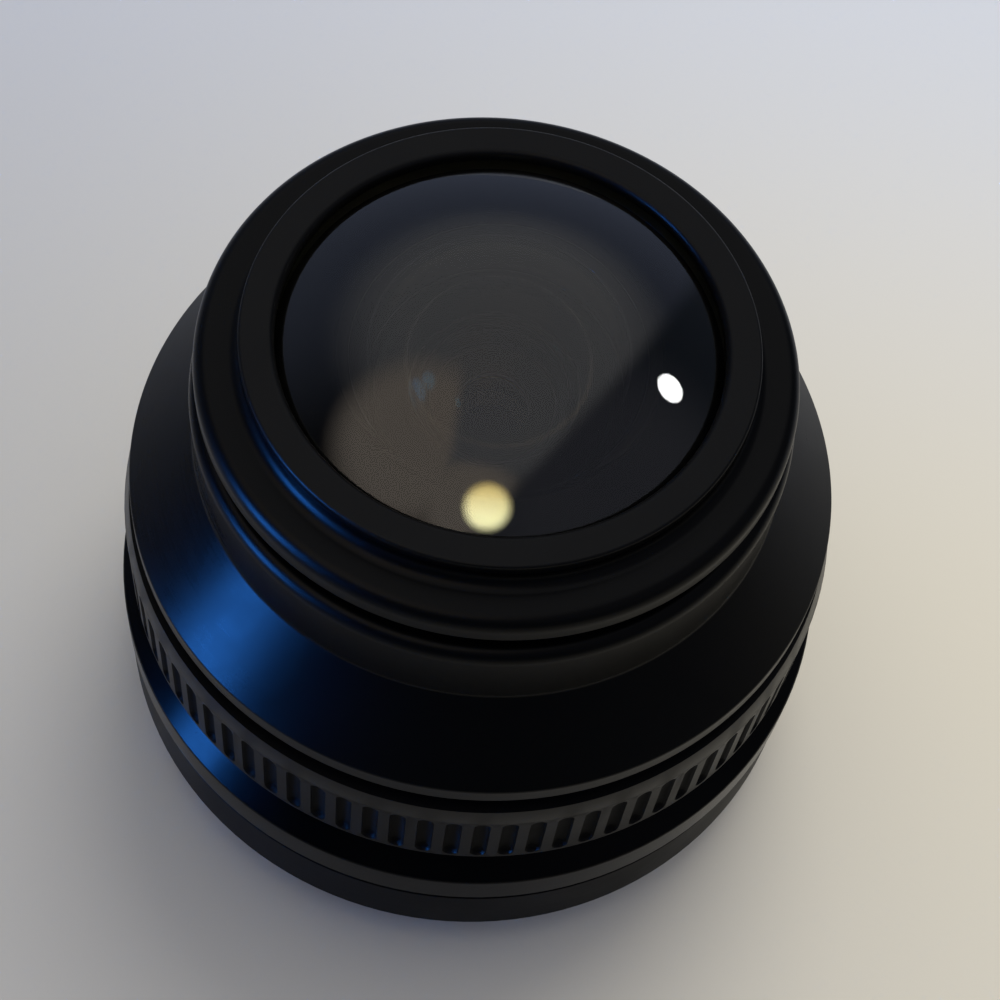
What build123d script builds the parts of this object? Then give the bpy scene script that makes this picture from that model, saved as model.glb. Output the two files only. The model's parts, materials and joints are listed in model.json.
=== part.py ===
"""Manual-focus fisheye lens, standing on its bayonet with the front glass up.

Millimetres. +Z runs along the optical axis towards the front glass, and the
origin is on the axis at the rear end of the bayonet. Angles run from +X
towards +Y. The lens is drawn focused at infinity with its iris wide open.
All radii follow from the bayonet's spigot, outwards and inwards, by the walls,
steps and gaps that are named with each piece.
"""
import os
from math import asin, atan2, copysign, cos, degrees, hypot, radians, sin, sqrt

from build123d import *

# Fits, edges and cutters
run_fit = 0.05              # radial clearance of what turns or slides
thread_fit = 0.02           # radial clearance of what is screwed together
axial_play = 0.1            # end play of a captive ring
edge_break = 0.25           # broken outer edges
edge_fillet = 0.5           # softer outer edges
glass_margin = 0.2          # between a glass's clear face and the ring round it
overrun = 1.0               # how far a cutter passes a face
match = 0.01                # tolerance for picking an edge by its place

# Moving ranges
focus_throw = 110.0         # degrees of focus ring from infinity to close up
focus_travel = 1.6          # how far the lens unit slides forward for it
iris_throw = 42.0           # degrees of aperture ring from open to closed
blade_throw = 22.6          # degrees that each blade swings for it
click_count = 7

# Bayonet
spigot_r = 25.4
spigot_h = 5.0
spigot_wall = 2.8
flange_w = 7.6              # how far the flange stands out from the spigot
flange_t = 2.0
flange_gap = 0.2            # between the flange's rim and the aperture ring
lug_reach = 1.8
lug_z = 1.2
lug_t = 1.4
lug_count = 3
lug_span = 52.0
lug_start = 30.0
ledge_w = 2.1
ledge_t = 1.0
mount_screw_count = 5
mount_screw_start = 18.0
mount_screw_inset = 2.1     # from the bore of the barrel's foot
lock_hole_r = 1.3
lock_hole_depth = 1.4

# Countersunk screws: head radius, shank radius, head height, length
mount_screw = (1.6, 0.8, 0.8, 3.7)
baffle_screw = (0.75, 0.4, 0.35, 1.55)
key_screw = (1.2, 0.7, 0.6, 6.6)
nut_screw = (1.3, 0.7, 0.6, 2.5)
barrel_screw = (1.4, 0.7, 0.7, 4.0)
fork_screw = (0.75, 0.4, 0.35, 4.9)
screw_sink = 0.05           # how far a head lies below its face
recess_share = 1.1          # length of a cross recess over the head's radius
recess_w_share = 0.28
recess_depth_share = 0.6    # depth of the recess over the head's height

# Rear baffle
baffle_t = 0.8
baffle_fit = 0.1
baffle_clearance = 0.9      # round the rear cell
baffle_screw_count = 3
baffle_screw_start = 84.0
baffle_screw_inset = 1.1

# Aperture ring, its fork and its clicks
ring_lift = 0.6
aperture_ring_w = 2.9       # from the flange's rim out
aperture_ring_h = 8.0
fork_rise = 0.6             # over the barrel's foot
fork_t = 1.2
fork_w = 5.0
fork_foot_w = 9.0
fork_foot_gap = 0.1
fork_wall = 0.7             # left in the ring outside the fork
fork_depth = 2.9            # from the cam ring's arm in to the tips
fork_mouth_spare = 0.6
fork_window_gap = 0.2
fork_window_margin = 2.0
fork_screw_inset = 0.8
fork_screw_offset = 3.0
detent_angle = 300.0
detent_drop = 1.6           # below the ring's top
detent_depth = 2.9
ball_r = 0.8
ball_fit = 0.03
notch_depth = 0.3
spring_wall = 0.25

# Rear barrel
band_step = 0.1             # band over the aperture ring
band_gap = 0.3
band_h = 4.3
shoulder_w = 3.1
shoulder_h = 2.6
seat_step = 0.4
seat_rise = 1.4
seat_w = 2.0
bearing_wall = 2.5
bearing_h = 5.35            # length of the focus ring's bearing
sleeve_wall = 3.8
sleeve_thread_wall = 1.4
sleeve_thread_h = 1.95
foot_w = 1.5
foot_t = 2.0
bead_r = 1.0
bead_angle = 90.0
bead_proud = 0.35

# Focus ring and its stop
focus_ring_h = 10.5
retainer_room = 2.1         # radial room over the bearing for the retaining ring
retainer_gap = 0.3
grip_wall = 2.25
grip_chamfer_w = 0.55
grip_chamfer_h = 1.5
groove_count = 84
cutter_r = 0.8
cutter_depth = 0.6
groove_low_margin = 0.8     # plain band under the grooves
groove_top_margin = 0.2     # plain band over the grooves
ledge_plate_t = 1.2
ledge_gap = 0.4             # round the nut's bore
foot_chamfer = 0.4
spanner_w = 2.0
spanner_depth = 0.9
stop_pin_r = 0.9
stop_angle = 150.0
stop_z_offset = 2.6
stop_pin_proud = 0.8
stop_groove_depth = 1.2
stop_margin = 0.2           # degrees of free turn past each end

# Helicoid
nut_gap = 1.0               # between the nut and the sleeve round it
nut_wall = 3.0
nut_flange_gap = 1.2
nut_flange_t = 1.6
nut_low_gap = 0.6
nut_screw_count = 4
nut_screw_inset = 2.4
nut_screw_start = 45.0
helicoid_wall = 2.1
skirt_gap = 1.4             # between the fork and the sliding barrel
web_t = 1.8
web_lift = 4.5              # top of the web over the focus ring's top
barrel_screw_count = 3
barrel_screw_inset = 4.1
barrel_screw_start = 20.0

# Guide keys
key_w = 4.0
key_drop = 0.8              # key's lower end below the sliding barrel's
key_h = 7.0
key_reach = 1.7
key_screw_rise = 1.2        # screw's height over the key's lower end
key_angles = (0.0, 180.0)
key_slot_spare = 3.1

# Front shroud
cone_gap = 2.1
rim_inset = 0.85            # rim's step in from the focus ring's grip
rim_h = 2.0
cone_w = 6.3
cone_h = 7.0
neck_h = 7.6
neck_wall = 3.1
shroud_wall = 1.5
neck_fillet = 1.3
root_fillet = 0.5
rim_fillet = 0.4

# Bezel and front retaining ring
groove_h = 2.4
groove_step = 1.0           # from the groove's floor in to the bezel's thread
bezel_inset = 0.6
bezel_h = 2.75
bezel_fillet = 1.0
collar_w = 0.85
collar_h = 1.7
collar_fillet = 1.3
cover_t = 1.05
cover_lap = 0.2
cover_skirt_wall = 1.7
cover_lip = 0.4

# Front barrel and its glasses; a glass's bulge is the height of a face over its edge
barrel_root_gap = 0.1
barrel_root_h = 3.2
barrel_flare_h = 4.0
barrel_top_lift = 1.7       # over the bezel's lower face
barrel_wall = 1.6           # between the bezel's thread and the retaining ring's
cell_slope_w = 3.1
cell_slope_h = 2.2
front_glass_inset = 1.0
front_glass_h = 3.8
front_lift = 4.43           # top of the dome over the retaining ring
front_bulge = 5.81
front_step_fit = 0.1
front_hollow_margin = 5.7
front_hollow = 8.46
gasket_t = 0.3
gasket_w = 1.8
gasket_setback = 0.2
second_glass_h = 3.0
second_lift = 2.8           # over the third glass
second_bulge = 2.25
second_hollow = 3.97
second_ring_lap = 1.4
second_ring_step = 0.9
second_ring_h = 1.8
second_step = 0.3
third_inset = 4.5           # from the second glass's rim in to the third's
third_glass_h = 2.7
third_seat_w = 1.1
third_seat_lift = 3.2       # over the web
third_front_bulge = 2.12
third_rear_bulge = 0.68
spacer_wall = 0.9

# Iris
iris_inset = 8.5            # from the sliding barrel's bore in to the housing
iris_wall = 1.2
iris_plate_t = 1.0
iris_plate_drop = 0.1       # below the web's top
iris_plate_margin = 0.1
blade_w = 3.2
blade_t = 0.12
blade_pitch = 0.17
blade_top_gap = 0.1
blade_count = 6
band_from = 12.0
band_to = 136.0
pivot_inset = 2.0
pivot_offset = 2.1          # from a blade's pivot in to its band
drive_step = 1.2
drive_angle = 12.0
pivot_ear_r = 0.95
drive_ear_r = 0.85
neck_ear_r = 1.1
pivot_pin_r = 0.5
drive_pin_r = 0.45
pin_reach = 0.8             # how far a pin enters its plate
cam_gap = 0.2
cam_t = 1.0
cam_margin = 0.3
cam_fit = 0.08
arm_angle = 60.0
arm_reach = 4.4
arm_w = 2.4
arm_t = 1.2
arm_spare = 0.4             # arm left in the fork's mouth at close focus
arm_window_margin = 1.5     # degrees of free window past each end
snap_t = 0.6
snap_gap = 0.05
snap_w = 1.6
snap_groove = 0.4
snap_slit = 3.0

# Rear cell and its glasses
rear_cell_gap = 0.38        # below the snap ring
rear_nose_h = 4.4
rear_cell_step = 1.8
rear_flange_t = 1.2
rear_wall = 2.6
rear_seat_t = 1.4
rear_seat_w = 2.4
rear_thread_step = 0.9
rear_ring_h = 1.6
rear_ring_lap = 1.0
rear_ring_sink = 0.4
fourth_h = 2.5
fourth_bulge = 0.77
fourth_hollow = 0.61
rear_spacer_h = 2.5
fifth_h = 1.9
cement_bulge = 1.03
sixth_h = 2.8
sixth_rear_bulge = 0.4
thin_spacer_h = 1.3
thin_spacer_wall = 0.7
seventh_h = 3.5
seventh_front_bulge = 0.42
seventh_rear_bulge = 0.86

# Radii of the bayonet and the rear barrel
throat_r = spigot_r - spigot_wall
flange_r = spigot_r + flange_w
lug_r = spigot_r + lug_reach
ledge_r = throat_r - ledge_w
baffle_r = throat_r - baffle_fit
baffle_screw_pcr = throat_r - baffle_screw_inset
aperture_ring_r = flange_r + aperture_ring_w
barrel_r = aperture_ring_r + band_step
shoulder_r = barrel_r - shoulder_w
seat_r = shoulder_r - seat_step
bearing_r = seat_r - seat_w
sleeve_bore_r = bearing_r - bearing_wall
sleeve_r = sleeve_bore_r + sleeve_wall
sleeve_thread_r = sleeve_bore_r + sleeve_thread_wall
foot_bore_r = sleeve_bore_r - foot_w
mount_screw_pcr = foot_bore_r + mount_screw_inset
detent_bore_r = sleeve_r - detent_depth

# Radii of the focus ring and the helicoid
inner_wall_r = bearing_r + retainer_room
retainer_r = inner_wall_r - retainer_gap
grip_r = inner_wall_r + grip_wall
grip_top_r = grip_r - grip_chamfer_w
stop_tip_r = bearing_r + stop_pin_proud
stop_groove_r = bearing_r + stop_groove_depth
nut_r = sleeve_bore_r - nut_gap
nut_flange_r = inner_wall_r - nut_flange_gap
nut_screw_pcr = nut_r + nut_screw_inset
ledge_bore_r = nut_r + ledge_gap
helicoid_r = nut_r - nut_wall
helicoid_bore_r = helicoid_r - helicoid_wall
key_tip_r = helicoid_r - key_reach

# Radii of the front
rim_r = grip_r - rim_inset
neck_r = rim_r - cone_w
groove_r = neck_r - neck_wall
bezel_r = neck_r - bezel_inset
barrel_thread_r = groove_r - groove_step
barrel_root_r = helicoid_bore_r - barrel_root_gap
barrel_screw_pcr = barrel_root_r - barrel_screw_inset
cover_skirt_r = barrel_thread_r - barrel_wall
cover_skirt_bore_r = cover_skirt_r - cover_skirt_wall
collar_r = cover_skirt_r + collar_w
cover_r = collar_r + cover_lap
window_r = cover_skirt_bore_r - cover_lip
front_glass_r = cover_skirt_r - front_glass_inset
front_step_r = cover_skirt_bore_r - front_step_fit
gasket_bore_r = front_glass_r - gasket_w
front_hollow_r = gasket_bore_r - front_hollow_margin
cell_wall_r = gasket_bore_r - gasket_setback
second_ring_r = cell_wall_r - cell_slope_w
second_glass_r = second_ring_r - second_ring_step
second_ring_bore_r = second_glass_r - second_ring_lap
third_glass_r = second_glass_r - third_inset
third_seat_r = third_glass_r - third_seat_w
spacer_bore_r = third_glass_r - spacer_wall

# Radii of the iris and the rear cell
iris_r = helicoid_bore_r - iris_inset
web_bore_r = iris_r + run_fit
iris_bore_r = iris_r - iris_wall
pivot_r = iris_bore_r - pivot_inset
drive_r = pivot_r - drive_step
band_outer_r = pivot_r - pivot_offset
iris_open_r = band_outer_r - blade_w
iris_plate_hole_r = iris_open_r + iris_plate_margin
cam_bore_r = iris_open_r + cam_margin
cam_r = iris_bore_r - cam_fit
snap_bore_r = iris_bore_r - snap_w
arm_r = iris_r + arm_reach
fork_tip_r = arm_r - fork_depth
fork_mouth_r = arm_r + fork_mouth_spare
fork_foot_bore = sleeve_r + fork_foot_gap
fork_r = aperture_ring_r - fork_wall
fork_screw_pcr = fork_r - fork_screw_inset
rear_cell_r = iris_r - rear_cell_step
rear_glass_r = rear_cell_r - rear_wall
rear_thread_r = rear_glass_r + rear_thread_step
rear_ring_bore_r = rear_glass_r - rear_ring_lap
rear_seat_r = rear_glass_r - rear_seat_w
thin_spacer_bore_r = rear_glass_r - thin_spacer_wall
baffle_hole_r = rear_cell_r + baffle_clearance

# Heights of the outer form, from the rear end up
z_flange = spigot_h
z_mount_top = z_flange + flange_t
z_ring_low = z_flange + ring_lift
z_ring_top = z_ring_low + aperture_ring_h
z_band_low = z_ring_top + band_gap
z_band_top = z_band_low + band_h
z_shoulder = z_band_top + shoulder_h
z_seat = z_shoulder + seat_rise
z_focus_low = z_seat + axial_play
z_focus_top = z_focus_low + focus_ring_h
z_rim_low = z_focus_top + cone_gap
z_rim_top = z_rim_low + rim_h
z_cone_top = z_rim_top + cone_h
z_neck_top = z_cone_top + neck_h
z_bezel_low = z_neck_top + groove_h
z_bezel_top = z_bezel_low + bezel_h
z_collar_top = z_bezel_top + collar_h
z_cover_top = z_collar_top + cover_t

# Heights of the focusing parts
z_foot = z_mount_top + foot_t
z_fork = z_foot + fork_rise
z_detent = z_ring_top - detent_drop
z_skirt = z_fork + fork_t + skirt_gap
z_key = z_skirt - key_drop
z_key_slot = z_key + key_h + key_slot_spare
z_stop = z_seat + stop_z_offset
z_retainer_low = z_seat + bearing_h
z_thread_top = z_retainer_low + sleeve_thread_h
z_nut_top = z_focus_top - ledge_plate_t
z_web_top = z_focus_top + web_lift
z_web_low = z_web_top - web_t

# Heights of the front barrel's parts
z_third = z_web_top + third_seat_lift
z_second = z_third + third_glass_h + second_lift
z_second_top = z_second + second_glass_h
z_glass_step = z_collar_top - cover_t
z_front_glass = z_glass_step - front_glass_h
z_barrel_top = z_bezel_low + barrel_top_lift
z_dome_edge = z_cover_top + front_lift - front_bulge

# Heights of the iris and, below it, of the rear cell's parts
z_plate_top = z_web_top - iris_plate_drop
z_plate_low = z_plate_top - iris_plate_t
z_blade_low = z_plate_low - blade_top_gap - blade_pitch * (blade_count - 1) - blade_t
z_cam_top = z_blade_low - cam_gap
z_cam_low = z_cam_top - cam_t
z_snap_top = z_cam_low - snap_gap
z_arm_low = z_fork - focus_travel - arm_spare
z_rear_top = z_snap_top - snap_t - rear_cell_gap
z_iris_foot = z_rear_top - rear_nose_h
z_rear_seat = z_rear_top - rear_seat_t
z_fourth = z_rear_seat - fourth_h
z_rear_spacer = z_fourth - rear_spacer_h
z_fifth = z_rear_spacer - fifth_h
z_sixth = z_fifth - sixth_h
z_thin_spacer = z_sixth - thin_spacer_h
z_seventh = z_thin_spacer - seventh_h
z_rear_ring = z_seventh - rear_ring_h
z_rear_low = z_rear_ring - rear_ring_sink

tilt = blade_throw / iris_throw


def turn(outline, mode=Mode.ADD):
    """Turn a closed outline of (radius, height) points about the optical axis."""
    with BuildSketch(Plane.XZ) as section:
        with BuildLine():
            Polyline(*outline, close=True)
        make_face()
    return revolve(section.sketch, axis=Axis.Z, mode=mode)


def ring(bore, radius, low, top, mode=Mode.ADD):
    """Turn a plain ring."""
    return turn([(bore, low), (radius, low), (radius, top), (bore, top)], mode)


def circles(part, radius, height):
    """Pick the round edges of this radius at this height."""
    round_edges = part.edges().filter_by(GeomType.CIRCLE)
    return round_edges.filter_by(
        lambda edge: abs(edge.radius - radius) < match and abs(edge.arc_center.Z - height) < match)


def spoke(angle, radius, height):
    """Plane square to a radial line, facing outwards."""
    a = radians(angle)
    return Plane(origin=(radius * cos(a), radius * sin(a), height), z_dir=(cos(a), sin(a), 0))


def up(angle, radius, height):
    """Horizontal plane at a place, facing up, turned with the angle."""
    a = radians(angle)
    place = (radius * cos(a), radius * sin(a), height)
    return Plane(origin=place, x_dir=(cos(a), sin(a), 0), z_dir=(0, 0, 1))


def down(angle, radius, height):
    """Horizontal plane at a place, facing down."""
    a = radians(angle)
    return Plane(origin=(radius * cos(a), radius * sin(a), height), z_dir=(0, 0, -1))


def drill(plane, radius, depth):
    """Cut a round hole that starts at the plane and goes in against its normal."""
    with Locations(plane.offset(overrun)):
        Cylinder(radius, depth + overrun, align=(Align.CENTER, Align.CENTER, Align.MAX), mode=Mode.SUBTRACT)


def countersink(plane, size):
    """Cut a countersunk hole for a screw of this size; its plane faces out of the head."""
    head_r, shank_r, head_h, length = size
    with Locations(plane.offset(-head_h - screw_sink)):
        Cone(shank_r, head_r, head_h, align=(Align.CENTER, Align.CENTER, Align.MIN), mode=Mode.SUBTRACT)
        Cylinder(shank_r, length, align=(Align.CENTER, Align.CENTER, Align.MAX), mode=Mode.SUBTRACT)
    drill(plane, head_r, screw_sink)


def screws(planes, size):
    """Countersunk cross-recess screws whose heads face out of the given planes."""
    head_r, shank_r, head_h, length = size
    with BuildPart() as one:
        with Locations(Plane.XY.offset(-screw_sink)):
            Cone(shank_r, head_r, head_h, align=(Align.CENTER, Align.CENTER, Align.MAX))
            Cylinder(shank_r, length, align=(Align.CENTER, Align.CENTER, Align.MAX))
            for spin in (0, 90):
                Box(recess_share * head_r, recess_w_share * head_r, recess_depth_share * head_h,
                    rotation=(0, 0, spin), align=(Align.CENTER, Align.CENTER, Align.MAX), mode=Mode.SUBTRACT)
    with BuildPart() as group:
        with Locations(*planes):
            add(one.part)
    return group.part


def half_way(bulge, radius):
    """Height over its edge that a spherical face has halfway out; negative on a hollow face."""
    if not bulge:
        return 0.0
    curve = (radius**2 + bulge**2) / (2 * bulge)
    return copysign(sqrt(curve**2 - (radius / 2)**2), bulge) - curve + bulge


def glass(rim, low, top, front, rear, step=0.0):
    """Turn a lens from its rim radius, edge heights and (bulge, clear radius) of each face.

    A hollow face has a negative bulge. A step is how far the rim lies below the
    edge of the front face.
    """
    front_height, front_r = front
    rear_height, rear_r = rear
    front_mid = top + half_way(front_height, front_r)
    rear_mid = low - half_way(rear_height, rear_r)
    edge = [(front_r, top)]
    for point in ((front_r, top - step), (rim, top - step), (rim, low), (rear_r, low)):
        if point != edge[-1]:
            edge.append(point)
    with BuildPart() as lens:
        with BuildSketch(Plane.XZ):
            with BuildLine():
                if front_height:
                    ThreePointArc((0, top + front_height), (front_r / 2, front_mid), (front_r, top))
                else:
                    Line((0, top), (front_r, top))
                Polyline(*edge)
                if rear_height:
                    ThreePointArc((rear_r, low), (rear_r / 2, rear_mid), (0, low - rear_height))
                else:
                    Line((rear_r, low), (0, low))
                Line((0, low - rear_height), (0, top + front_height))
            make_face()
        revolve(axis=Axis.Z)
    return lens.part


def save(part, name):
    """Label a finished piece and write it."""
    part.label = name
    export_step(part, f"parts/{name}.step")


# Rear end

def mount_screw_planes():
    step = 360 / mount_screw_count
    return [down(mount_screw_start + step * i, mount_screw_pcr, z_flange) for i in range(mount_screw_count)]


def baffle_screw_planes():
    step = 360 / baffle_screw_count
    low = z_mount_top - ledge_t - baffle_t
    return [down(baffle_screw_start + step * i, baffle_screw_pcr, low) for i in range(baffle_screw_count)]


def make_bayonet_mount():
    with BuildPart() as bayonet_mount:
        ring(throat_r, spigot_r, 0, z_flange)
        ring(throat_r, flange_r, z_flange, z_mount_top)
        ring(ledge_r, throat_r, z_mount_top - ledge_t, z_mount_top)
        for i in range(lug_count):
            start = lug_start + i * 360 / lug_count
            with BuildSketch(Plane.XY.offset(lug_z)):
                with BuildLine():
                    inner = CenterArc((0, 0), spigot_r - match, start, lug_span)
                    outer = CenterArc((0, 0), lug_r, start, lug_span)
                    Line(inner @ 0, outer @ 0)
                    Line(inner @ 1, outer @ 1)
                make_face()
            extrude(amount=lug_t)
        chamfer(circles(bayonet_mount.part, spigot_r, 0), edge_break)
        chamfer(circles(bayonet_mount.part, flange_r, z_flange), edge_break)
        for plane in mount_screw_planes():
            countersink(plane, mount_screw)
        for plane in baffle_screw_planes():
            drill(plane, baffle_screw[1], baffle_t + ledge_t + overrun)
        lock_angle = mount_screw_start + 180 / mount_screw_count
        drill(down(lock_angle, mount_screw_pcr, z_flange), lock_hole_r, lock_hole_depth)
    return bayonet_mount.part


def make_rear_baffle():
    top = z_mount_top - ledge_t
    with BuildPart() as rear_baffle:
        turn([(baffle_hole_r, top - baffle_t / 2), (baffle_hole_r + baffle_t, top - baffle_t),
              (baffle_r, top - baffle_t), (baffle_r, top), (baffle_hole_r, top)])
        for plane in baffle_screw_planes():
            countersink(plane, baffle_screw)
    return rear_baffle.part


def key_screw_planes():
    return [spoke(angle, sleeve_r, z_key + key_screw_rise) for angle in key_angles]


def detent_plane():
    return spoke(detent_angle, sleeve_r, z_detent)


def stop_plane():
    return spoke(stop_angle, bearing_r, z_stop)


def make_rear_barrel():
    with BuildPart() as rear_barrel:
        turn([(foot_bore_r, z_mount_top), (sleeve_r, z_mount_top), (sleeve_r, z_band_low),
              (barrel_r, z_band_low), (barrel_r, z_band_top), (shoulder_r, z_shoulder), (seat_r, z_shoulder),
              (seat_r, z_seat), (bearing_r, z_seat), (bearing_r, z_retainer_low),
              (sleeve_thread_r, z_retainer_low), (sleeve_thread_r, z_thread_top),
              (sleeve_bore_r, z_thread_top), (sleeve_bore_r, z_foot), (foot_bore_r, z_foot)])
        chamfer(circles(rear_barrel.part, barrel_r, z_band_low), edge_break)
        fillet(circles(rear_barrel.part, barrel_r, z_band_top), edge_fillet)
        for plane in mount_screw_planes():
            drill(plane, mount_screw[1], sum(mount_screw[2:]) + screw_sink)
        for plane in key_screw_planes():
            countersink(plane, key_screw)
        drill(stop_plane(), stop_pin_r, bearing_r - sleeve_bore_r + overrun)
        drill(detent_plane(), ball_r + ball_fit, sleeve_r - detent_bore_r)
        drill(spoke(bead_angle, barrel_r, (z_band_low + z_band_top) / 2), bead_r + thread_fit, bead_r)
        start = arm_angle - fork_window_half()
        span = iris_throw + 2 * fork_window_half()
        with BuildSketch(Plane.XY.offset(z_fork - fork_window_gap)):
            with BuildLine():
                inner = CenterArc((0, 0), foot_bore_r, start, span)
                outer = CenterArc((0, 0), sleeve_r + overrun, start, span)
                Line(inner @ 0, outer @ 0)
                Line(inner @ 1, outer @ 1)
            make_face()
        extrude(amount=fork_t + 2 * fork_window_gap, mode=Mode.SUBTRACT)
    return rear_barrel.part


def fork_window_half():
    """Half the angle that the fork and its margin take in the sleeve's window."""
    return degrees(asin(fork_w / 2 / sleeve_bore_r)) + fork_window_margin


def make_mount_index_bead():
    plane = spoke(bead_angle, barrel_r, (z_band_low + z_band_top) / 2)
    with BuildPart() as mount_index_bead:
        with Locations(plane.offset(-bead_r)):
            Cylinder(bead_r, bead_r, align=(Align.CENTER, Align.CENTER, Align.MIN))
        with Locations(plane):
            Cone(bead_r, bead_r / 2, bead_proud, align=(Align.CENTER, Align.CENTER, Align.MIN))
    return mount_index_bead.part


# Focusing

def spanner_notches(radius, face_z):
    """Cut two notches for a spanner into a ring's end face."""
    for angle in (0, 180):
        with Locations(up(angle, radius, face_z)):
            Box(2 * spanner_w, spanner_w, 2 * spanner_depth, mode=Mode.SUBTRACT)


def make_focus_retaining_ring():
    with BuildPart() as focus_retaining_ring:
        ring(sleeve_thread_r + thread_fit, retainer_r, z_retainer_low, z_thread_top)
        spanner_notches(retainer_r, z_thread_top)
    return focus_retaining_ring.part


def make_focus_stop_pin():
    with BuildPart() as focus_stop_pin:
        with Locations(spoke(stop_angle, sleeve_bore_r, z_stop)):
            Cylinder(stop_pin_r - thread_fit, stop_tip_r - sleeve_bore_r,
                     align=(Align.CENTER, Align.CENTER, Align.MIN))
    return focus_stop_pin.part


def make_focus_ring():
    z_bearing_top = z_retainer_low - axial_play
    z_groove_low = z_focus_low + groove_low_margin + cutter_r
    z_groove_top = z_focus_top - grip_chamfer_h - groove_top_margin - cutter_r
    bearing_bore = bearing_r + run_fit
    with BuildPart() as cutter:
        with Locations((0, 0, z_groove_low)):
            Cylinder(cutter_r, z_groove_top - z_groove_low, align=(Align.CENTER, Align.CENTER, Align.MIN))
            Sphere(cutter_r)
        with Locations((0, 0, z_groove_top)):
            Sphere(cutter_r)
    with BuildPart() as focus_ring:
        turn([(bearing_bore, z_focus_low), (grip_r - foot_chamfer, z_focus_low),
              (grip_r, z_focus_low + foot_chamfer), (grip_r, z_focus_top - grip_chamfer_h),
              (grip_top_r, z_focus_top), (ledge_bore_r, z_focus_top),
              (ledge_bore_r, z_nut_top), (inner_wall_r, z_nut_top),
              (inner_wall_r, z_bearing_top), (bearing_bore, z_bearing_top)])
        with PolarLocations(grip_r + cutter_r - cutter_depth, groove_count):
            add(cutter.part, mode=Mode.SUBTRACT)
        pin_half = degrees(asin(stop_pin_r / bearing_r)) + stop_margin
        start = stop_angle - focus_throw - pin_half
        span = focus_throw + 2 * pin_half
        with BuildSketch(Plane.XY.offset(z_stop - stop_pin_r - axial_play)):
            with BuildLine():
                inner = CenterArc((0, 0), bearing_r - overrun, start, span)
                outer = CenterArc((0, 0), stop_groove_r, start, span)
                Line(inner @ 0, outer @ 0)
                Line(inner @ 1, outer @ 1)
            make_face()
        extrude(amount=2 * (stop_pin_r + axial_play), mode=Mode.SUBTRACT)
        for plane in nut_screw_planes():
            countersink(plane, nut_screw)
    return focus_ring.part


def nut_screw_planes():
    step = 360 / nut_screw_count
    return [up(nut_screw_start + step * i, nut_screw_pcr, z_focus_top)
            for i in range(nut_screw_count)]


def make_helicoid_nut():
    bore = helicoid_r + run_fit
    z_low = z_focus_low + nut_low_gap
    z_flange_low = z_nut_top - nut_flange_t
    with BuildPart() as helicoid_nut:
        turn([(bore, z_low), (nut_r, z_low), (nut_r, z_flange_low), (nut_flange_r, z_flange_low),
              (nut_flange_r, z_nut_top), (bore, z_nut_top)])
        for plane in nut_screw_planes():
            drill(plane, nut_screw[1], screw_sink + sum(nut_screw[2:]))
    return helicoid_nut.part


def barrel_screw_planes():
    step = 360 / barrel_screw_count
    return [down(barrel_screw_start + step * i, barrel_screw_pcr, z_web_low)
            for i in range(barrel_screw_count)]


def make_helicoid_barrel():
    with BuildPart() as helicoid_barrel:
        turn([(helicoid_bore_r, z_skirt), (helicoid_r, z_skirt), (helicoid_r, z_web_top),
              (web_bore_r, z_web_top), (web_bore_r, z_web_low), (helicoid_bore_r, z_web_low)])
        for angle in key_angles:
            with Locations(up(angle, helicoid_r - helicoid_wall / 2, z_skirt - overrun)):
                Box(2 * helicoid_wall, key_w + 2 * run_fit, z_key_slot - z_skirt + overrun,
                    align=(Align.CENTER, Align.CENTER, Align.MIN), mode=Mode.SUBTRACT)
        for plane in barrel_screw_planes():
            countersink(plane, barrel_screw)
    return helicoid_barrel.part


def make_guide_keys():
    with BuildPart() as guide_keys:
        for angle in key_angles:
            with Locations(up(angle, key_tip_r, z_key)):
                Box(sleeve_bore_r, key_w, key_h, align=(Align.MIN, Align.CENTER, Align.MIN))
        ring(0, sleeve_bore_r - thread_fit, z_key, z_key + key_h, Mode.INTERSECT)
        for plane in key_screw_planes():
            drill(plane, key_screw[1], screw_sink + sum(key_screw[2:]))
    return guide_keys.part


# Front of the lens unit

def make_front_barrel():
    z_gasket = z_front_glass - gasket_t
    z_flare = z_web_top + barrel_root_h
    with BuildPart() as front_barrel:
        turn([(third_seat_r, z_web_top), (barrel_root_r, z_web_top), (barrel_root_r, z_flare),
              (groove_r, z_flare + barrel_flare_h), (groove_r, z_bezel_low),
              (barrel_thread_r, z_bezel_low), (barrel_thread_r, z_barrel_top),
              (front_glass_r + thread_fit, z_barrel_top), (front_glass_r + thread_fit, z_gasket),
              (cell_wall_r, z_gasket), (second_ring_r + thread_fit, z_gasket - cell_slope_h),
              (second_ring_r + thread_fit, z_second_top - second_step),
              (second_glass_r + thread_fit, z_second_top - second_step),
              (second_glass_r + thread_fit, z_second),
              (third_glass_r + thread_fit, z_second), (third_glass_r + thread_fit, z_third),
              (third_seat_r, z_third)])
        for plane in barrel_screw_planes():
            drill(plane, barrel_screw[1], screw_sink + sum(barrel_screw[2:]))
    return front_barrel.part


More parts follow.
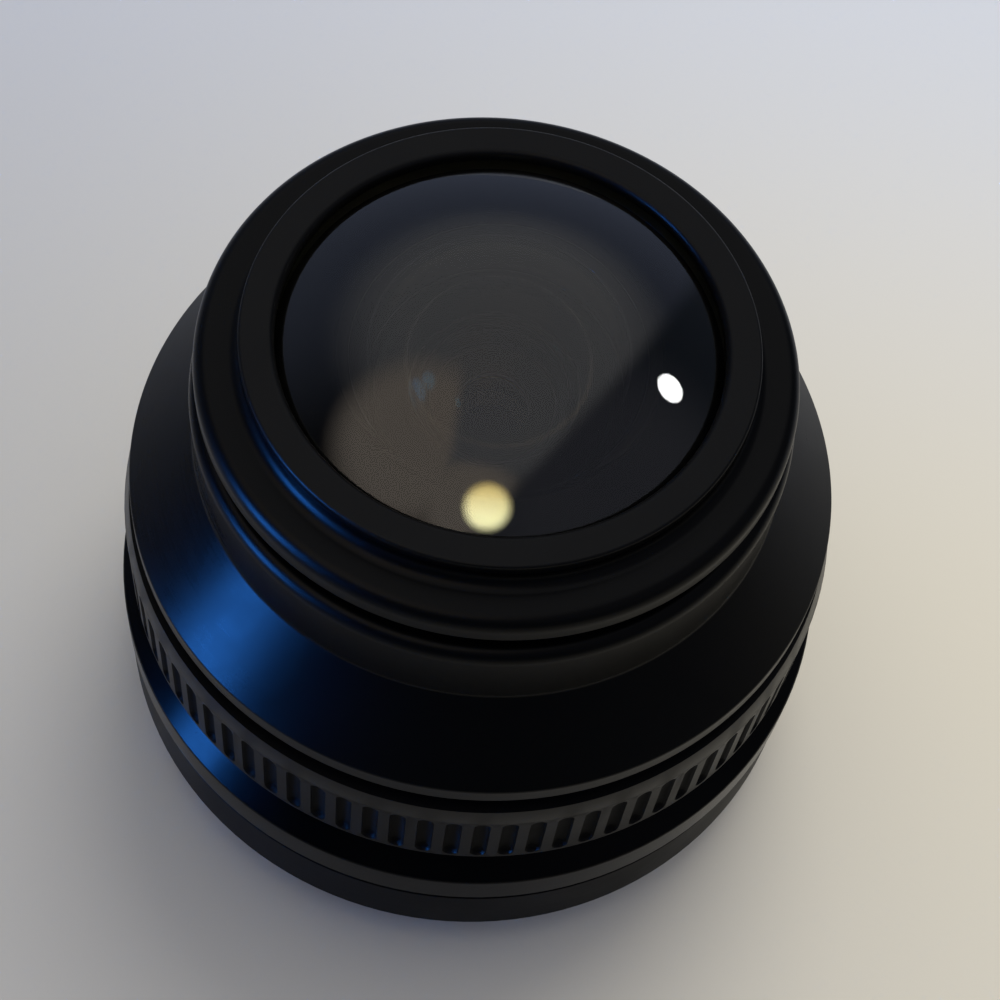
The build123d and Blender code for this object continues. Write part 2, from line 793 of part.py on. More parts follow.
def make_front_shroud():
    bore = groove_r + thread_fit
    slope = cone_h / (rim_r - neck_r)
    inner_rim = rim_r - shroud_wall
    z_inner_rim = z_rim_top - shroud_wall / 2
    z_bore_low = z_inner_rim + slope * (inner_rim - bore)
    with BuildPart() as front_shroud:
        turn([(inner_rim, z_rim_low), (rim_r, z_rim_low), (rim_r, z_rim_top), (neck_r, z_cone_top),
              (neck_r, z_neck_top), (bore, z_neck_top), (bore, z_bore_low), (inner_rim, z_inner_rim)])
        fillet(circles(front_shroud.part, neck_r, z_neck_top), neck_fillet)
        fillet(circles(front_shroud.part, neck_r, z_cone_top), root_fillet)
        fillet(circles(front_shroud.part, rim_r, z_rim_top), rim_fillet)
        chamfer(circles(front_shroud.part, rim_r, z_rim_low), edge_break)
    return front_shroud.part


def make_front_bezel():
    with BuildPart() as front_bezel:
        turn([(barrel_thread_r + thread_fit, z_bezel_low), (bezel_r, z_bezel_low), (bezel_r, z_bezel_top),
              (collar_r, z_bezel_top), (collar_r, z_collar_top), (cover_skirt_r + thread_fit, z_collar_top),
              (cover_skirt_r + thread_fit, z_barrel_top), (barrel_thread_r + thread_fit, z_barrel_top)])
        fillet(circles(front_bezel.part, bezel_r, z_bezel_top), bezel_fillet)
        fillet(circles(front_bezel.part, collar_r, z_bezel_top), collar_fillet)
        chamfer(circles(front_bezel.part, bezel_r, z_bezel_low), edge_break)
    return front_bezel.part


def make_front_retaining_ring():
    with BuildPart() as front_retaining_ring:
        turn([(window_r, z_collar_top), (cover_skirt_bore_r, z_collar_top),
              (cover_skirt_bore_r, z_glass_step), (cover_skirt_r, z_glass_step),
              (cover_skirt_r, z_collar_top), (cover_r, z_collar_top), (cover_r, z_cover_top),
              (window_r, z_cover_top)])
        chamfer(circles(front_retaining_ring.part, cover_r, z_cover_top), edge_break)
        chamfer(circles(front_retaining_ring.part, window_r, z_cover_top), edge_break)
    return front_retaining_ring.part


def make_front_element():
    return glass(front_glass_r, z_front_glass, z_dome_edge, (front_bulge, front_step_r),
                 (-front_hollow, front_hollow_r), z_dome_edge - z_glass_step)


def make_front_gasket():
    with BuildPart() as front_gasket:
        ring(gasket_bore_r, front_glass_r, z_front_glass - gasket_t, z_front_glass)
    return front_gasket.part


def make_second_element():
    clear = second_ring_bore_r - glass_margin
    return glass(second_glass_r, z_second, z_second_top, (second_bulge, clear),
                 (-second_hollow, spacer_bore_r))


def make_second_retaining_ring():
    top = z_second_top + second_ring_h
    with BuildPart() as second_retaining_ring:
        ring(second_ring_bore_r, second_ring_r, z_second_top, top)
        spanner_notches(second_ring_r, top)
    return second_retaining_ring.part


def make_spacer_ring():
    with BuildPart() as spacer_ring:
        ring(spacer_bore_r, third_glass_r, z_second - second_lift, z_second)
    return spacer_ring.part


def make_third_element():
    clear = third_seat_r - glass_margin
    return glass(third_glass_r, z_third, z_third + third_glass_h, (third_front_bulge, clear),
                 (third_rear_bulge, clear))


# Iris

def make_iris_housing():
    with BuildPart() as iris_housing:
        turn([(iris_plate_hole_r, z_plate_low), (iris_bore_r, z_plate_low), (iris_bore_r, z_iris_foot),
              (iris_r, z_iris_foot), (iris_r, z_plate_top), (iris_plate_hole_r, z_plate_top)])
        ring(iris_bore_r - match, iris_bore_r + snap_groove, z_snap_top - snap_t, z_snap_top, Mode.SUBTRACT)
        with Locations(Plane.XY.offset(z_plate_low)):
            with PolarLocations(pivot_r, blade_count):
                Cylinder(pivot_pin_r + run_fit, 2 * pin_reach, mode=Mode.SUBTRACT)
        half = degrees(asin(arm_w / 2 / iris_bore_r)) + arm_window_margin
        with BuildSketch(Plane.XY.offset(z_cam_low - cam_gap)):
            with BuildLine():
                inner = CenterArc((0, 0), iris_bore_r - overrun, arm_angle - half, iris_throw + 2 * half)
                outer = CenterArc((0, 0), iris_r + overrun, arm_angle - half, iris_throw + 2 * half)
                Line(inner @ 0, outer @ 0)
                Line(inner @ 1, outer @ 1)
            make_face()
        extrude(amount=cam_t + 2 * cam_gap, mode=Mode.SUBTRACT)
    return iris_housing.part


def drive_place(turned):
    """Place of the first blade's drive pin, seen from the cam ring turned this far."""
    start = (drive_r * cos(radians(drive_angle)) - pivot_r, drive_r * sin(radians(drive_angle)))
    reach = hypot(*start)
    swing = atan2(start[1], start[0]) + radians(tilt * turned)
    x = pivot_r + reach * cos(swing)
    y = reach * sin(swing)
    back = radians(-turned)
    return (x * cos(back) - y * sin(back), x * sin(back) + y * cos(back))


def make_iris_cam_ring():
    with BuildPart() as iris_cam_ring:
        ring(cam_bore_r, cam_r, z_cam_low, z_cam_top)
        for i in range(blade_count):
            with BuildSketch(Plane.XY.offset(z_cam_low - overrun).rotated((0, 0, i * 360 / blade_count))):
                with BuildLine(mode=Mode.PRIVATE):
                    path = ThreePointArc(drive_place(0), drive_place(iris_throw / 2), drive_place(iris_throw))
                SlotArc(path, 2 * (drive_pin_r + run_fit))
            extrude(amount=cam_t + 2 * overrun, mode=Mode.SUBTRACT)
        with Locations(up(arm_angle, cam_r - overrun, z_cam_low)):
            Box(arm_r - cam_r + overrun, arm_w, cam_t, align=(Align.MIN, Align.CENTER, Align.MIN))
        with Locations(up(arm_angle, arm_r, z_arm_low)):
            Box(arm_t, arm_w, z_cam_top - z_arm_low, align=(Align.MAX, Align.CENTER, Align.MIN))
    return iris_cam_ring.part


def make_iris_blade(index):
    """One blade, at its own level so that the blades pass over each other."""
    low = z_blade_low + blade_pitch * index
    angle = index * 360 / blade_count
    drive = drive_place(0)
    centre_r = (iris_open_r + band_outer_r) / 2
    half_w = (band_outer_r - iris_open_r) / 2
    with BuildPart() as iris_blade:
        with BuildSketch(Plane.XY.offset(low).rotated((0, 0, angle))):
            with Locations((pivot_r, 0)):
                Circle(pivot_ear_r)
            with Locations(drive):
                Circle(drive_ear_r)
            with Locations((centre_r * cos(radians(band_from)), centre_r * sin(radians(band_from)))):
                Circle(neck_ear_r)
            make_hull()
            with BuildLine():
                inner = CenterArc((0, 0), iris_open_r, band_from, band_to - band_from)
                outer = CenterArc((0, 0), band_outer_r, band_from, band_to - band_from)
                Line(inner @ 0, outer @ 0)
                Line(inner @ 1, outer @ 1)
            make_face()
            for end in (band_from, band_to):
                with Locations((centre_r * cos(radians(end)), centre_r * sin(radians(end)))):
                    Circle(half_w)
        extrude(amount=blade_t)
        with BuildSketch(Plane.XY.offset(low).rotated((0, 0, angle))):
            with Locations((pivot_r, 0)):
                Circle(pivot_pin_r)
        extrude(amount=z_plate_low + pin_reach - run_fit - low)
        with BuildSketch(Plane.XY.offset(z_cam_top - pin_reach).rotated((0, 0, angle))):
            with Locations(drive):
                Circle(drive_pin_r)
        extrude(amount=low + blade_t - z_cam_top + pin_reach)
    return iris_blade.part


def make_iris_snap_ring():
    with BuildPart() as iris_snap_ring:
        ring(snap_bore_r, iris_bore_r + snap_groove - thread_fit, z_snap_top - snap_t, z_snap_top)
        with Locations(up(arm_angle + 180, iris_bore_r, z_snap_top)):
            Box(2 * (iris_bore_r - snap_bore_r) + snap_groove, snap_slit, 2 * snap_t + overrun,
                mode=Mode.SUBTRACT)
    return iris_snap_ring.part


# Rear of the lens unit

def make_rear_cell():
    bore = rear_glass_r + thread_fit
    z_flange_low = z_iris_foot - rear_flange_t
    with BuildPart() as rear_cell:
        turn([(rear_thread_r, z_rear_low), (rear_cell_r, z_rear_low),
              (rear_cell_r, z_flange_low), (iris_r, z_flange_low),
              (iris_r, z_iris_foot), (iris_bore_r - thread_fit, z_iris_foot),
              (iris_bore_r - thread_fit, z_rear_top), (rear_seat_r, z_rear_top),
              (rear_seat_r, z_rear_seat), (bore, z_rear_seat), (bore, z_seventh),
              (rear_thread_r, z_seventh)])
        chamfer(circles(rear_cell.part, rear_cell_r, z_rear_low), edge_break)
    return rear_cell.part


def make_fourth_element():
    return glass(rear_glass_r, z_fourth, z_rear_seat, (fourth_bulge, rear_seat_r - glass_margin),
                 (-fourth_hollow, rear_seat_r))


def make_rear_spacer():
    with BuildPart() as rear_spacer:
        ring(rear_ring_bore_r, rear_glass_r, z_rear_spacer, z_fourth)
    return rear_spacer.part


def make_fifth_element():
    return glass(rear_glass_r, z_fifth, z_rear_spacer, (0, rear_seat_r), (-cement_bulge, rear_glass_r))


def make_sixth_element():
    return glass(rear_glass_r, z_sixth, z_fifth, (cement_bulge, rear_glass_r),
                 (sixth_rear_bulge, rear_ring_bore_r))


def make_thin_spacer():
    with BuildPart() as thin_spacer:
        ring(thin_spacer_bore_r, rear_glass_r, z_thin_spacer, z_sixth)
    return thin_spacer.part


def make_seventh_element():
    clear = rear_ring_bore_r - glass_margin
    return glass(rear_glass_r, z_seventh, z_thin_spacer, (seventh_front_bulge, clear),
                 (seventh_rear_bulge, clear))


def make_rear_retaining_ring():
    with BuildPart() as rear_retaining_ring:
        ring(rear_ring_bore_r, rear_thread_r - thread_fit, z_rear_ring, z_seventh)
        spanner_notches(rear_thread_r, z_rear_ring)
    return rear_retaining_ring.part


# Aperture ring and its drive

def fork_screw_planes():
    offset = degrees(asin(fork_screw_offset / fork_screw_pcr))
    return [down(arm_angle + side * offset, fork_screw_pcr, z_ring_low) for side in (-1, 1)]


def make_aperture_ring():
    bore = sleeve_r + run_fit
    flange_bore = flange_r + flange_gap
    z_step = z_mount_top + axial_play
    with BuildPart() as aperture_ring:
        turn([(flange_bore, z_ring_low), (aperture_ring_r, z_ring_low), (aperture_ring_r, z_ring_top),
              (bore, z_ring_top), (bore, z_step), (flange_bore, z_step)])
        chamfer(circles(aperture_ring.part, aperture_ring_r, z_ring_low), edge_fillet)
        chamfer(circles(aperture_ring.part, aperture_ring_r, z_ring_top), edge_break)
        with Locations(up(arm_angle, bore - overrun, z_fork)):
            Box(fork_r - bore + overrun + thread_fit, fork_foot_w + 2 * thread_fit, fork_t,
                align=(Align.MIN, Align.CENTER, Align.MIN), mode=Mode.SUBTRACT)
        for plane in fork_screw_planes():
            countersink(plane, fork_screw)
        for i in range(click_count):
            back = detent_angle - i * iris_throw / (click_count - 1)
            with Locations(spoke(back, bore - ball_r + notch_depth, z_detent)):
                Sphere(ball_r, mode=Mode.SUBTRACT)
    return aperture_ring.part


def make_aperture_fork():
    with BuildPart() as aperture_fork:
        with Locations(up(arm_angle, fork_tip_r, z_fork)):
            Box(fork_foot_bore - fork_tip_r, fork_w, fork_t, align=(Align.MIN, Align.CENTER, Align.MIN))
        with Locations(up(arm_angle, fork_foot_bore, z_fork)):
            Box(fork_r - fork_foot_bore, fork_foot_w, fork_t, align=(Align.MIN, Align.CENTER, Align.MIN))
        with Locations(up(arm_angle, fork_tip_r - overrun, z_fork)):
            Box(fork_mouth_r - fork_tip_r + overrun, arm_w + 2 * run_fit, 2 * fork_t + overrun,
                align=(Align.MIN, Align.CENTER, Align.CENTER), mode=Mode.SUBTRACT)
        for plane in fork_screw_planes():
            drill(plane, fork_screw[1], screw_sink + sum(fork_screw[2:]))
    return aperture_fork.part


def make_detent_ball():
    with BuildPart() as detent_ball:
        with Locations(spoke(detent_angle, sleeve_r - ball_r, z_detent)):
            Sphere(ball_r)
    return detent_ball.part


def make_detent_spring():
    with BuildPart() as detent_spring:
        with Locations(spoke(detent_angle, detent_bore_r, z_detent)):
            length = sleeve_r - 2 * ball_r - detent_bore_r
            Cylinder(ball_r - ball_fit, length, align=(Align.CENTER, Align.CENTER, Align.MIN))
            Cylinder(ball_r - spring_wall, length, align=(Align.CENTER, Align.CENTER, Align.MIN),
                     mode=Mode.SUBTRACT)
    return detent_spring.part


os.makedirs("parts", exist_ok=True)
save(make_bayonet_mount(), "bayonet_mount")
save(screws(mount_screw_planes(), mount_screw), "mount_screws")
save(make_rear_baffle(), "rear_baffle")
save(screws(baffle_screw_planes(), baffle_screw), "baffle_screws")
save(make_rear_barrel(), "rear_barrel")
save(make_mount_index_bead(), "mount_index_bead")
save(make_focus_retaining_ring(), "focus_retaining_ring")
save(make_focus_stop_pin(), "focus_stop_pin")
save(make_guide_keys(), "guide_keys")
save(screws(key_screw_planes(), key_screw), "key_screws")
save(make_detent_ball(), "detent_ball")
save(make_detent_spring(), "detent_spring")
save(make_focus_ring(), "focus_ring")
save(make_helicoid_nut(), "helicoid_nut")
save(screws(nut_screw_planes(), nut_screw), "nut_screws")
save(make_helicoid_barrel(), "helicoid_barrel")
save(screws(barrel_screw_planes(), barrel_screw), "barrel_screws")
save(make_front_barrel(), "front_barrel")
save(make_front_shroud(), "front_shroud")
save(make_front_bezel(), "front_bezel")
save(make_front_retaining_ring(), "front_retaining_ring")
save(make_front_element(), "front_element")
save(make_front_gasket(), "front_gasket")
save(make_second_element(), "second_element")
save(make_second_retaining_ring(), "second_retaining_ring")
save(make_spacer_ring(), "spacer_ring")
save(make_third_element(), "third_element")
save(make_iris_housing(), "iris_housing")
save(make_iris_cam_ring(), "iris_cam_ring")
save(make_iris_snap_ring(), "iris_snap_ring")
for number in range(blade_count):
    save(make_iris_blade(number), f"iris_blade_{number + 1}")
save(make_rear_cell(), "rear_cell")
save(make_fourth_element(), "fourth_element")
save(make_rear_spacer(), "rear_spacer")
save(make_fifth_element(), "fifth_element")
save(make_sixth_element(), "sixth_element")
save(make_thin_spacer(), "thin_spacer")
save(make_seventh_element(), "seventh_element")
save(make_rear_retaining_ring(), "rear_retaining_ring")
save(make_aperture_ring(), "aperture_ring")
save(make_aperture_fork(), "aperture_fork")
save(screws(fork_screw_planes(), fork_screw), "fork_screws")
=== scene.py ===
"""Fisheye lens on a pale table: turned pieces, milled grip, finishes and a soft studio."""

import json
from math import atan2, cos, degrees, hypot, pi, radians, sin, sqrt, tan

import bpy
from mathutils import Matrix, Vector

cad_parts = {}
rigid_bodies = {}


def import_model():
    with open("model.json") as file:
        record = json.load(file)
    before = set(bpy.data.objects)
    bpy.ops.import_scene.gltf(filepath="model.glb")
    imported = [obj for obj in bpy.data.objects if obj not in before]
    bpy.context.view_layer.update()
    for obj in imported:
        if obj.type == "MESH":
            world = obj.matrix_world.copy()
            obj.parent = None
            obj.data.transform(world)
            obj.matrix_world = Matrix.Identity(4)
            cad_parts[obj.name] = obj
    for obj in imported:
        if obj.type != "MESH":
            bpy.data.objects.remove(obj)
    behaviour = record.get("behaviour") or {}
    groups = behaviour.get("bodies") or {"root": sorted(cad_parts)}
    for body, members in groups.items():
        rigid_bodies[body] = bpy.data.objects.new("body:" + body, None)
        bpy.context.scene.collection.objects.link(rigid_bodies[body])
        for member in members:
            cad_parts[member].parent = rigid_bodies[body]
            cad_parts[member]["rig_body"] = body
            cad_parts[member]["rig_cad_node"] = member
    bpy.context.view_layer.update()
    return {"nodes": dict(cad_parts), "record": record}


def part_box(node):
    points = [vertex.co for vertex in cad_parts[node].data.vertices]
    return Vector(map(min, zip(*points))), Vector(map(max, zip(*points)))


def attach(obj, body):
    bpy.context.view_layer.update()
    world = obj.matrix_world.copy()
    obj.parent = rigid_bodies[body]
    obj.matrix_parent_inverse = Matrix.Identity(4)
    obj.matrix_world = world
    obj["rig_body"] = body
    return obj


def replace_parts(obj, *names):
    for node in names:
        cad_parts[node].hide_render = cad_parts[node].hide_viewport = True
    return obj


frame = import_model()
record = frame["record"]
body_of = {node: body for body, nodes in record["behaviour"]["bodies"].items() for node in nodes}

# Sizes in metres, taken from the frame where it has them
mm = 0.001
turn_steps = 256            # sides of the large turned pieces
dome_steps = 28             # steps in the outline of the front glass's dome
hollow_steps = 24           # and in that of its hollow
same_place = 0.01 * mm      # two points nearer than this are one
merge_gap = same_place / 10  # doubles nearer than this are merged
crease = radians(32)        # sharper edges stay sharp
flat_fold = radians(0.5)    # triangles that meet at less than this become one face


def reach(node):
    """Largest radius, lowest and highest height of a turned node."""
    low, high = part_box(node)
    return high[0], low[2], high[2]


rim_r, z_rim_low, z_neck_top = reach("front_shroud")
bezel_r, z_bezel_low, z_collar_top = reach("front_bezel")
cover_r, z_glass_step, z_cover_top = reach("front_retaining_ring")
glass_r, z_glass_low, z_apex = reach("front_element")
grip_r, z_grip_low, z_grip_top = reach("focus_ring")
band_r = reach("rear_barrel")[0]
ring_r, z_ring_low, z_ring_top = reach("aperture_ring")

# Shroud
rim_h = 2.0 * mm
cone_h = 7.0 * mm
cone_w = 6.3 * mm
neck_wall = 3.1 * mm
shroud_wall = 1.5 * mm
shroud_fit = 0.02 * mm      # keeps the bore clear of the bezel's groove
neck_r = rim_r - cone_w
groove_r = neck_r - neck_wall
z_rim_top = z_rim_low + rim_h
z_cone_top = z_rim_top + cone_h

# Bezel, retaining ring and front glass
bezel_h = 2.75 * mm
thread_r = groove_r - 1.0 * mm
skirt_r = thread_r - 1.6 * mm
skirt_bore_r = skirt_r - 1.7 * mm
collar_r = skirt_r + 0.85 * mm
window_r = skirt_bore_r - 0.4 * mm
z_bezel_top = z_bezel_low + bezel_h
z_skirt_top = z_bezel_low + 1.7 * mm
dome_h = 5.81 * mm
dome_r = skirt_bore_r - 0.1 * mm
z_dome_edge = z_apex - dome_h
hollow_r = glass_r - 7.5 * mm
hollow_h = 8.46 * mm
hollow_round = 0.35 * mm
blackened_w = 0.1 * mm      # how far the black of the ground rim reaches into the hollow
hollow_tilt = -0.02         # faces of the glass whose normals point further down belong to the hollow

# Grip
grip_chamfer_h = 1.5 * mm
grip_chamfer_w = 0.55 * mm
foot_chamfer = 0.4 * mm
land_depth = 0.1 * mm       # under the lands down to here the metal is satin
floor_depth = 0.35 * mm     # and from here on it is a groove's floor


# Selecting and shaping meshes

def deselect():
    bpy.ops.object.select_all(action="DESELECT")


def take(piece):
    """Make one piece the active one and the only one selected."""
    deselect()
    piece.select_set(True)
    bpy.context.view_layer.objects.active = piece


def edit(piece):
    """Enter edit mode on one piece with nothing selected."""
    take(piece)
    bpy.ops.object.mode_set(mode="EDIT")
    bpy.ops.mesh.select_mode(type="VERT")
    bpy.ops.mesh.select_all(action="DESELECT")


def edit_all(piece):
    """Enter edit mode on one piece with all of it selected."""
    edit(piece)
    bpy.ops.mesh.select_all(action="SELECT")


def done():
    """Leave edit mode."""
    bpy.ops.object.mode_set(mode="OBJECT")


def pick_edges(piece, wanted):
    """Select the edges whose points all pass the test, and stay in edit mode."""
    edit(piece)
    bpy.ops.object.mode_set(mode="OBJECT")
    points = [vertex.co for vertex in piece.data.vertices]
    bpy.context.tool_settings.mesh_select_mode = (False, True, False)
    for line in piece.data.edges:
        line.select = all(wanted(points[i]) for i in line.vertices)
    bpy.ops.object.mode_set(mode="EDIT")


def round_edges(width, segments):
    """Round the selected edges, by the width that this takes off each face, and leave edit mode."""
    bpy.ops.mesh.bevel(offset=width, segments=segments, profile=0.5, affect="EDGES")
    done()


def name_it(piece, name):
    piece.name = name
    piece.data.name = name
    return piece


def smooth(piece):
    """Shade smooth up to the crease angle, and keep flat faces flat."""
    take(piece)
    bpy.ops.object.shade_smooth_by_angle(angle=crease)
    level = piece.modifiers.new("Flat faces", "WEIGHTED_NORMAL")
    level.keep_sharp = True
    bpy.ops.object.modifier_apply(modifier=level.name)


def arc(start, end, bulge, count):
    """Points of a round stretch of an outline, without its ends.

    The bulge is how far its middle stands off the chord, to the right of the way
    from start to end.
    """
    (r0, z0), (r1, z1) = start, end
    half = hypot(r1 - r0, z1 - z0) / 2
    curve = (half**2 + bulge**2) / (2 * bulge)
    across = ((z1 - z0) / (2 * half), -(r1 - r0) / (2 * half))
    middle = ((r0 + r1) / 2 + across[0] * (bulge - curve),
              (z0 + z1) / 2 + across[1] * (bulge - curve))
    first = atan2(z0 - middle[1], r0 - middle[0])
    last = atan2(z1 - middle[1], r1 - middle[0])
    sweep = (last - first + pi) % (2 * pi) - pi
    return [(middle[0] + abs(curve) * cos(first + sweep * i / count),
             middle[1] + abs(curve) * sin(first + sweep * i / count)) for i in range(1, count)]


def ring_edge(corner):
    """Test for the points of the ring edge at a corner of an outline."""
    radius, height = corner
    return lambda point: (abs(hypot(point.x, point.y) - radius) < same_place
                          and abs(point.z - height) < same_place)


def extrude_by(height):
    """Extrude what is selected along the optical axis."""
    bpy.ops.mesh.extrude_region_move(TRANSFORM_OT_translate={"value": (0, 0, height)})


def turned(name, outline, rounded=()):
    """Turn a closed outline of (radius, height) about the optical axis.

    An outline that starts and ends on the axis is closed there. Each rounded
    entry is a corner's place in the outline, its radius and its steps.
    """
    rings = [point for point in outline if point[0] > 0]
    poles = [point for point in (outline[0], outline[-1]) if point[0] <= 0]
    deselect()
    bpy.ops.mesh.primitive_circle_add(vertices=turn_steps, radius=rings[0][0], location=(0, 0, rings[0][1]))
    bpy.ops.object.transform_apply(location=True)
    piece = name_it(bpy.context.object, name)
    edit_all(piece)
    if poles:
        extrude_by(poles[0][1] - rings[0][1])
        bpy.ops.mesh.merge(type="CENTER")
        done()
        pick_edges(piece, ring_edge(rings[0]))
        bpy.ops.mesh.select_mode(type="VERT")
        bpy.context.tool_settings.mesh_select_mode = (True, False, False)
    path = rings if poles else rings + rings[:1]
    for (radius, height), (next_radius, next_height) in zip(path, path[1:]):
        extrude_by(next_height - height)
        scale = next_radius / radius
        bpy.ops.transform.resize(value=(scale, scale, 1), center_override=(0, 0, 0))
    if poles:
        extrude_by(poles[1][1] - rings[-1][1])
        bpy.ops.mesh.merge(type="CENTER")
    bpy.ops.mesh.select_all(action="SELECT")
    bpy.ops.mesh.remove_doubles(threshold=merge_gap)
    bpy.ops.mesh.normals_make_consistent(inside=False)
    done()
    for index, radius, segments in rounded:
        corner = outline[index]
        before = Vector(outline[index - 1]) - Vector(corner)
        after = Vector(outline[(index + 1) % len(outline)]) - Vector(corner)
        offset = radius / tan(before.angle(after) / 2)
        pick_edges(piece, ring_edge(corner))
        round_edges(offset, segments)
    smooth(piece)
    return piece


def skin(node, edge=0.0, rounded=()):
    """A merged, smoothly shaded copy of a rigid node, with its sharp edges broken.

    Each rounded entry is a ring edge's radius and height, the width that its
    rounding takes off each face, and its steps.
    """
    take(frame["nodes"][node])
    bpy.ops.object.duplicate()
    piece = bpy.context.object
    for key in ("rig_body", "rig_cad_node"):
        del piece[key]
    piece.parent = None
    name_it(piece, node + "_finished")
    piece.data.materials.clear()
    edit_all(piece)
    bpy.ops.mesh.remove_doubles(threshold=merge_gap)
    bpy.ops.mesh.dissolve_limited(angle_limit=flat_fold)
    done()
    for radius, height, width, segments in rounded:
        pick_edges(piece, ring_edge((radius, height)))
        round_edges(width, segments)
    if edge:
        bevel = piece.modifiers.new("Broken edges", "BEVEL")
        bevel.width = edge
        bevel.segments = 2
        bevel.limit_method = "ANGLE"
        bevel.angle_limit = crease
        bpy.ops.object.modifier_apply(modifier=bevel.name)
    smooth(piece)
    return piece


# Turned pieces of the front. Each has an outline, and the place in it, radius and steps of each rounding

def make_shroud():
    bore = groove_r + shroud_fit
    slope = cone_h / cone_w
    inner_rim = rim_r - shroud_wall
    z_inner_rim = z_rim_top - shroud_wall / 2
    z_bore_low = z_inner_rim + slope * (inner_rim - bore)
    outline = [
        (inner_rim, z_rim_low), (rim_r, z_rim_low), (rim_r, z_rim_top), (neck_r, z_cone_top),
        (neck_r, z_neck_top), (bore, z_neck_top), (bore, z_bore_low), (inner_rim, z_inner_rim)]
    rounded = [
        (4, 1.3 * mm, 10), (3, 0.5 * mm, 5), (2, 0.4 * mm, 5), (1, 0.25 * mm, 4),
        (0, 0.15 * mm, 3), (5, 0.15 * mm, 3)]
    return turned("shroud", outline, rounded)


def make_bezel():
    outline = [
        (thread_r, z_bezel_low), (bezel_r, z_bezel_low), (bezel_r, z_bezel_top), (collar_r, z_bezel_top),
        (collar_r, z_collar_top), (skirt_r, z_collar_top), (skirt_r, z_skirt_top), (thread_r, z_skirt_top)]
    rounded = [(2, 1.4 * mm, 12), (3, 1.3 * mm, 12), (1, 0.25 * mm, 4), (4, 0.1 * mm, 3)]
    return turned("bezel", outline, rounded)


def make_cover_ring():
    outline = [
        (window_r, z_collar_top), (skirt_bore_r, z_collar_top), (skirt_bore_r, z_glass_step),
        (skirt_r, z_glass_step), (skirt_r, z_collar_top), (cover_r, z_collar_top),
        (cover_r, z_cover_top), (window_r, z_cover_top)]
    rounded = [(6, 0.3 * mm, 6), (7, 0.65 * mm, 10), (5, 0.1 * mm, 3)]
    return turned("cover_ring", outline, rounded)


def half_sagitta(radius, height):
    """How far half the arc of a face's cap stands off its own chord, from its clear radius and height."""
    curve = (radius**2 + height**2) / (2 * height)
    chord = hypot(radius, height)
    return curve - sqrt(curve**2 - (chord / 2)**2)


def make_front_glass():
    top = (0, z_apex)
    hollow_start = (hollow_r, z_glass_low)
    hollow_end = (0, z_glass_low + hollow_h)
    dome = arc(top, (dome_r, z_dome_edge), -half_sagitta(dome_r, dome_h), dome_steps)
    hollow = arc(hollow_start, hollow_end, half_sagitta(hollow_r, hollow_h), hollow_steps)
    rim = [(dome_r, z_dome_edge), (dome_r, z_glass_step), (glass_r, z_glass_step), (glass_r, z_glass_low)]
    outline = [top, *dome, *rim, hollow_start, *hollow, hollow_end]
    return turned("front_glass", outline, [(outline.index(hollow_start), hollow_round, 3)])


def coat_rear(piece):
    """Coat the hollow of the front glass like the inner glasses, and blacken its ground rim and rear annulus."""
    dome_finish, hollow_finish, ground_finish = range(3)
    piece.data.materials.append(finishes["clear_glass"])
    piece.data.materials.append(finishes["flat_black"])
    for face in piece.data.polygons:
        out = hypot(face.center.x, face.center.y)
        if face.center.z < z_glass_step and out > hollow_r - blackened_w:
            face.material_index = ground_finish
        else:
            face.material_index = hollow_finish if face.normal.z < hollow_tilt else dome_finish


# Painted marks, on the side away from the picture

mark_t = 0.045 * mm         # half the thickness of a mark, which lies half in its face
line_w = 0.3 * mm
index_angle = 90.0
band_low = 13.9 * mm
band_top = 18.2 * mm
bead_r = 1.0 * mm
bead_gap = 0.25 * mm        # between the bead and the index lines
band_foot_gap = 0.3 * mm    # between the index lines and the band's ends
band_head_gap = 0.55 * mm
stop_step = 7.0             # degrees from one aperture number to the next
stop_numbers = ("3.5", "4", "5.6", "8", "11", "16", "22")
stop_size = 2.3 * mm
stop_drop = 0.3 * mm        # from the ring's middle down to the numbers'
stop_line_h = 0.8 * mm
stop_line_drop = 0.9 * mm   # from the ring's top down to the lines' middle
distances = ((89, "0.2"), (55, "0.3"), (31, "0.5"), (15, "1"))  # degrees behind infinity, and the number
distance_size = 1.25 * mm
infinity_size = 1.35 * mm


def place_mark(piece, radius, angle, level, lean=0.0, spin=0.0):
    """Stand a flat mark up on a turned face, leaning back with it, and turn it round the axis.

    The spin turns it in its own plane first.
    """
    if spin:
        piece.rotation_euler = (0, 0, radians(spin))
        bpy.ops.object.transform_apply(rotation=True)
    piece.rotation_euler = (radians(90 - lean), 0, radians(180))
    piece.location = (0, radius, level)
    bpy.ops.object.transform_apply(location=True, rotation=True)
    piece.rotation_euler = (0, 0, radians(angle - 90))
    bpy.ops.object.transform_apply(rotation=True)
    return piece


def word(words, size, radius, angle, level, lean=0.0, spin=0.0):
    """A number in filled paint. An 8 that lies on its side is the infinity sign."""
    deselect()
    bpy.ops.object.text_add()
    text = bpy.context.object
    text.data.body = words
    text.data.size = size
    text.data.extrude = mark_t
    text.data.align_x = "CENTER"
    text.data.align_y = "CENTER"
    bpy.ops.object.convert(target="MESH")
    return place_mark(bpy.context.object, radius, angle, level, lean, spin)


def dash(length, radius, angle, level):
    """A short straight line in filled paint, along the axis."""
    deselect()
    bpy.ops.mesh.primitive_cube_add(size=1)
    bpy.ops.transform.resize(value=(line_w, length, 2 * mark_t))
    bpy.ops.object.transform_apply(scale=True)
    line = bpy.context.object
    edit_all(line)
    bpy.ops.mesh.bevel(offset=mark_t / 3, segments=2, affect="EDGES")
    done()
    return place_mark(line, radius, angle, level)


